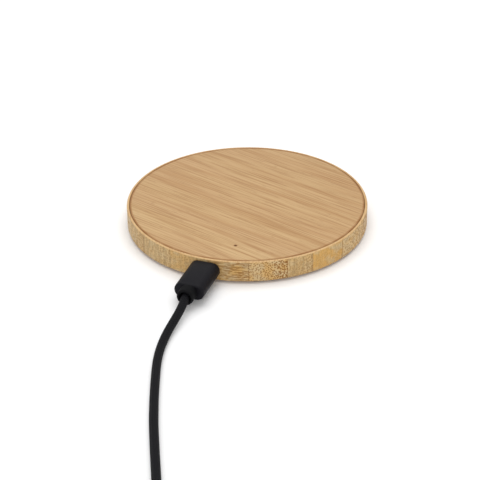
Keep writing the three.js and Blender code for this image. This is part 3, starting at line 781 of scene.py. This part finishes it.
def make_base_cover(plastic):
    """The cover under the pad, with recesses for the feet and screws and stakes for the board."""
    profile = [
        *arc(BASE_RADIUS - 0.3, BASE_BOTTOM + 0.3, 0.3, 270, 360, 4),
        (BASE_RADIUS, BASE_TOP - 0.1),
        (BASE_RADIUS - 0.1, BASE_TOP),
    ]
    disc = lathe(profile, 240)
    piece = mesh_piece("bottom_cover", disc, plastic, "pad", "black_plastic", "base_cover")
    wide = FOOT_RADIUS + 0.1
    recess = [(wide + 0.2, -1), (wide + 0.2, 0), (wide, 0.15), (wide, 0.3)]
    for angle in FOOT_ANGLES:
        outline = [(radius, BASE_BOTTOM + depth) for radius, depth in recess]
        cut(piece, lathe(outline, 72, polar(FOOT_CIRCLE, angle)))
    sink = [(1.95, -1), (1.95, 0), (1.8, 0.15), (SCREW_HOLE, 1.05), (SCREW_HOLE, 2.2)]
    for angle in SCREW_ANGLES:
        outline = [(radius, BASE_BOTTOM + depth) for radius, depth in sink]
        cut(piece, lathe(outline, 48, polar(SCREW_CIRCLE, angle)))

    bm = bmesh.new()
    bm.from_mesh(piece.data)
    under, over = BOARD_BOTTOM - 0.05, BOARD_TOP + 0.05
    post = [(2.5, BASE_TOP - 0.2), (2.5, BASE_TOP), (2.2, BASE_TOP + 0.3), (2.2, under)]
    pin = [(0.9, under), (0.9, over), (1.5, over)]
    head = arc(1.0, BOARD_TOP + 0.1, 0.6, 0, 75, 4)
    for angle in STAKE_ANGLES:
        skin(bm, lathe_rings([*post, *pin, *head], 36, polar(STAKE_CIRCLE, angle)))
    bmesh.ops.recalc_face_normals(bm, faces=bm.faces)
    bm.to_mesh(piece.data)
    bm.free()
    piece.data.set_sharp_from_angle(angle=math.radians(SHARP_EDGE))


def make_screws(steel):
    """Four countersunk screws, each with a cross in its head."""
    bottom, shank, ridges = BASE_BOTTOM + 0.05, 0.75, 6
    threads = [(shank - 0.12 * (i % 2), bottom + 1.3 + 0.25 * i) for i in range(2 * ridges)]
    head = [(1.55, bottom), (1.7, bottom + 0.1), (shank, bottom + 1.05)]
    for i, angle in enumerate(SCREW_ANGLES, 1):
        x, y = polar(SCREW_CIRCLE, angle)
        screw = lathe([*head, *threads, (0.1, bottom + 4.8)], 40, (x, y))
        piece = mesh_piece(f"screw_{i}", screw, steel, "pad", "dark_steel", f"case_screw_{i}")
        for turned in (False, True):
            cut(piece, cross_bar(x, y, bottom, turned))


def cross_bar(x, y, bottom, turned):
    """One bar of the cross in a screw's head, narrower with depth."""
    rings = []
    for length, width, z in ((2.1, 0.5, bottom - 0.2), (2.0, 0.48, bottom), (1.1, 0.3, bottom + 0.7)):
        corners = [(length, width), (-length, width), (-length, -width), (length, -width)]
        if turned:
            corners = [(-b, a) for a, b in corners]
        rings.append([(x + a / 2, y + b / 2, z) for a, b in corners])
    bm = bmesh.new()
    skin(bm, rings)
    return bm


def make_charging_coil(copper):
    """The flat winding, its turns side by side, with its two ends led down to the board."""
    turns, pitch, height, inner, bottom = 10, 1.15, 1.8, 10.3, 4.95
    middle = bottom + height / 2
    over, under = [], []
    for i in range(turns):
        centre = inner + pitch * (i + 0.5)
        for degrees in (150, 120, 90, 60, 30):
            out, up = polar(0.5, degrees)
            over.append((centre + pitch * out, middle + height * up))
            under.append((centre + pitch * out, middle - height * up))
    bm = lathe([*over, *reversed(under)], 144, closed_path=True)
    for angle in (64, 76):
        stops = [(20.8, middle), (23.8, middle), (27.5, bottom + 0.4), (29.5, 4.3), (31.5, 4.3)]
        line = smooth_line([Vector((*polar(r, angle), z)) * MM for r, z in stops], 0.5 * MM)
        tube(bm, line, 0.55 * MM, 12)
    mesh_piece("copper_winding", bm, copper, "pad", "copper", "charging_coil", sharp=70)


# ---------------------------------------------------------------- the cable


def cable_piece(name, bm, material, slot, node):
    """A finished mesh as a piece that is on the cord."""
    mesh_piece(name, bm, material, "cable", slot, node)


def make_plug_c(plastic, rubber):
    """The USB-C plug's moulded body and its round strain relief."""
    size = (11.0, 5.8, 2.8)  # width, height and corner
    front, back = -45.2, -62.0
    shell_hole, relief_hole = (8.35, 2.5, 1.2), (5.0, 5.0, 2.4)
    bm = bmesh.new()
    rings = [
        section(*shell_hole, front - 3.1),
        section(*shell_hole, front),
        *fillet(*size, front, -1, 0.35),
        *reversed(fillet(*size, back, 1, 0.7)),
        section(*relief_hole, back),
        section(*relief_hole, back + 1.9),
    ]
    skin(bm, rings)
    cable_piece("plug_c_body", bm, plastic, "black_plastic", "usb_c_plug_body")

    face = back - 0.05
    end = face - 4
    bm = bmesh.new()
    profile = [
        (2.3, face + 1.8),
        (2.3, face),
        (3.05, face),
        (3.05, end + 0.6),
        (2.98, end + 0.3),
        (2.8, end + 0.1),
        (2.5, end),
        (2.2, end + 0.08),
        (2.05, end + 0.3),
        (1.85, end + 3),
    ]
    skin(bm, [circle_section(r, y) for r, y in profile])
    cable_piece("plug_c_relief", bm, rubber, "rubber", "usb_c_strain_relief")


def far_plug_place():
    """Where the USB-A plug lies: it is modelled along -Y from the end of its strain relief."""
    end = Vector(tail_points()[-1]) * MM
    turn = Matrix.Rotation(math.radians(TAIL_ANGLE), 4, "Z")
    return Matrix.Translation(end) @ turn @ Matrix.Translation((0, 0.9 * MM, 0))


def make_plug_a(plastic, rubber):
    """The USB-A plug's moulded body and its ribbed strain relief."""
    size = (15.6, 7.6, 2.4)  # width, height and corner
    near, far = -9, -30
    shell_hole = (12.2, 4.7, 0.6)
    bm = bmesh.new()
    rings = [
        circle_section(2.65, near - 1, 0),
        circle_section(2.65, near, 0),
        *fillet(*size, near, -1, 1.1, z=0),
        *reversed(fillet(*size, far, 1, 0.5, z=0)),
        section(*shell_hole, far, 0),
        section(*shell_hole, far + 1, 0),
    ]
    skin(bm, rings)
    bm.transform(far_plug_place())
    cable_piece("plug_a_body", bm, plastic, "black_plastic", "usb_a_plug_body")

    profile = [(1.8, -1.2), (1.8, 0), (1.9, 0), (2.0, -0.15)]
    for y in (-2, -3.5, -5, -6.5, -8):
        rib = 2.0 - 0.06 * y
        groove = rib - 0.35
        profile += [(rib, y + 0.4), (groove, y + 0.25), (groove, y - 0.25), (rib, y - 0.4)]
    profile += [(2.6, near), (2.6, near - 2)]
    bm = bmesh.new()
    skin(bm, [circle_section(r, y, 0) for r, y in profile])
    bm.transform(far_plug_place())
    cable_piece("plug_a_relief", bm, rubber, "rubber", "usb_a_strain_relief")


def make_tie(material):
    """A hook-and-loop strap closed round the coil, with its end lapped over on top."""
    out = Vector((*polar(1, TIE_ANGLE), 0))
    along = Vector((*polar(1, TIE_ANGLE + 90), 0))
    up = Vector((0, 0, 1))
    centre = Vector((COIL_X, COIL_Y, 0))
    clear = CORD_RADIUS + TIE_THICKNESS / 2 + 0.15
    upper_z = 5
    corners = [
        (LOWER_RADII[0], LOWER_Z, -90, 30),
        (TAIL_RADIUS, upper_z, 30, 90),
        (UPPER_RADIUS + PITCH, upper_z, 90, 120),
        (LOWER_RADII[-1], LOWER_Z, 120, 270),
    ]
    path = []
    for radius, z, start, end in corners:
        path += [centre + x * out + h * up for x, h in arc(radius, z, clear, start, end, 8)]
    strap = rounded(TIE_WIDTH, TIE_THICKNESS, TIE_CORNER, steps=3)
    rings = []
    for i, point in enumerate(path):
        forward = (path[(i + 1) % len(path)] - path[i - 1]).normalized()
        away = forward.cross(along)
        rings.append([point + a * along + b * away for a, b in strap])
    bm = bmesh.new()
    skin(bm, rings, closed_path=True)
    top = centre + (upper_z + clear + TIE_THICKNESS - 0.05) * up
    lap = []
    for x, narrower in ((16, 0), (21.6, 0), (22.3, 0.6), (22.6, 2)):
        outline = rounded(TIE_WIDTH - narrower, TIE_THICKNESS, TIE_CORNER, steps=3)
        lap.append([top + x * out + a * along + b * up for a, b in outline])
    skin(bm, lap)
    cable_piece("tie_strap", bm, material, "strap", "coil_tie")


def make_cord(material):
    """The cord along its whole route, and the line that it follows."""
    line = smooth_line([Vector(p) * MM for p in cord_route()], 1.1 * MM)
    bm = bmesh.new()
    tube(bm, line, CORD_RADIUS * MM, 16)
    nodes = ("cord_run", "cord_coil", "cord_tail")
    cord = mesh_piece("cord", bm, material, "cable", "cord_jacket", *nodes, sharp=60)
    return cord, line


# ---------------------------------------------------------------- CAD nodes that keep their shape


def carried_over(looks):
    """Gives every CAD node that is still shown the look of its material slot."""
    for part in frame["record"]["subparts"]:
        piece = frame["nodes"][part["node"]]
        if piece.hide_render:
            continue
        piece.data.materials.clear()
        piece.data.materials.append(looks[part["material_slot"]])


# ---------------------------------------------------------------- floor and light

FLOOR_HALF = 3  # metres


def area_light(name, place, aim, size, power):
    """A round soft light; its place, aim and size are in metres."""
    data = bpy.data.lights.new(name, "AREA")
    data.shape = "DISK"
    data.size = size
    data.energy = power
    light = bpy.data.objects.new(name, data)
    bpy.context.scene.collection.objects.link(light)
    light.location = place
    light.rotation_euler = (Vector(aim) - Vector(place)).to_track_quat("-Z", "Y").to_euler()


def make_studio():
    """A white floor under a white sky, a large light overhead and a small one in front."""
    bm = bmesh.new()
    corners = ((-1, -1), (1, -1), (1, 1), (-1, 1))
    bm.faces.new([bm.verts.new((x * FLOOR_HALF, y * FLOOR_HALF, 0)) for x, y in corners])
    data = bpy.data.meshes.new("floor")
    bm.to_mesh(data)
    bm.free()
    p = Paint("studio_floor", roughness=0.9, Specular_IOR_Level=0.1)
    p.color(p.mix(p.noise(p.scaled(120, 120, 120)), (0.95, 0.95, 0.95, 1), (0.97, 0.97, 0.97, 1)))
    data.materials.append(p.material)
    floor = bpy.data.objects.new("floor", data)
    bpy.context.scene.collection.objects.link(floor)

    world = bpy.data.worlds.new("studio")
    bpy.context.scene.world = world
    world.use_nodes = True
    background = world.node_tree.nodes["Background"]
    background.inputs["Color"].default_value = (1.0, 1.0, 1.0, 1)
    background.inputs["Strength"].default_value = 0.72
    area_light("overhead", (-0.03, 0.12, 0.9), (0, -0.02, 0), size=0.9, power=4.1)
    area_light("fill", (0.15, -0.75, 0.4), (0, -0.03, 0), size=0.5, power=1.3)
    bpy.context.scene.view_settings.view_transform = "Standard"


def main():
    make_camera()
    looks = {
        "black_plastic": moulded("black_plastic", srgb(15, 14, 19), 0.5),
        "rubber": moulded("soft_rubber", srgb(7, 7, 9), 0.7, 0.4, 0.02),
        "steel": metal("bright_steel", srgb(176, 178, 182), 0.26, (8, 0.14, 0.14)),
        "dark_steel": metal("dark_steel", srgb(70, 71, 74), 0.35, (0.3, 0.3, 0.3)),
        "board": circuit_board(),
        "ferrite": speckled("ferrite_grain", srgb(44, 44, 48), srgb(66, 66, 70), 0.5, 0.65),
        "copper": wound_copper(),
        "tape": speckled("paper_tape", srgb(228, 226, 216), srgb(240, 238, 230), 1.2, 0.6),
        "chip_black": moulded("chip_epoxy", srgb(22, 22, 24), 0.55, 0.15),
        "ceramic": speckled("capacitor_ceramic", srgb(150, 118, 78), srgb(178, 146, 102), 0.6, 0.5),
        "white_plastic": moulded("white_plastic", srgb(226, 226, 220), 0.45, 0.2),
        "clear_plastic": clear_acrylic(),
        "gold": metal("gold_flash", srgb(222, 180, 98), 0.2),
        "strap": woven_strap(),
    }
    black, rubber = looks["black_plastic"], looks["rubber"]
    cord, line = make_cord(braid())
    make_housing(bamboo_block())
    make_lid(bamboo_face())
    make_base_cover(black)
    make_screws(looks["dark_steel"])
    make_feet(rubber)
    make_charging_coil(looks["copper"])
    make_plug_c(black, rubber)
    make_plug_a(black, rubber)
    make_tie(looks["strap"])
    carried_over(looks)
    make_studio()


main()
